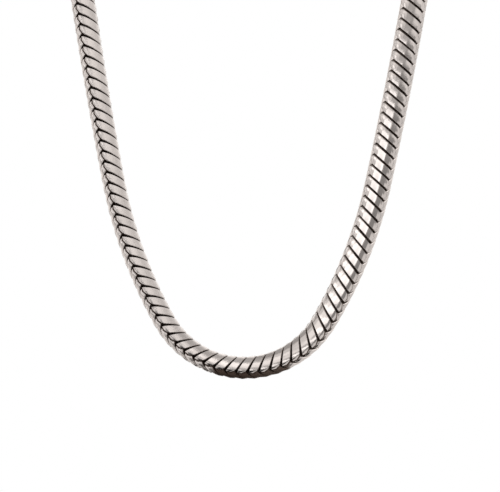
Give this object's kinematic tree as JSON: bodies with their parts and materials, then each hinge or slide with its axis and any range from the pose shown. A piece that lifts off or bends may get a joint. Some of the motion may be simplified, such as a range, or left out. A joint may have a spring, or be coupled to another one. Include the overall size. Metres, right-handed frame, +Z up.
{
  "type": "snake chain necklace",
  "caption": "Thick snake chain necklace of close-set wavy rings on one whole loop, hanging as worn, closed at the nape by a plain barrel clasp.",
  "frame": {"origin": "where the clasp rests on the nape, on the side of the clasp that faces into the loop", "axes": "+Z up, -Y towards the wearer's front, +X across the loop to the right of the front view"},
  "size_m": [0.1172, 0.0902, 0.2186],
  "materials": {
    "polished_steel": "polished steel with fine wear streaks, dark in the grooves",
    "clasp_steel": "polished steel, turned"
  },
  "bodies": {
    "root": {"links_left": "polished_steel", "links_right": "polished_steel", "clasp": "clasp_steel"}
  },
  "joints": []
}
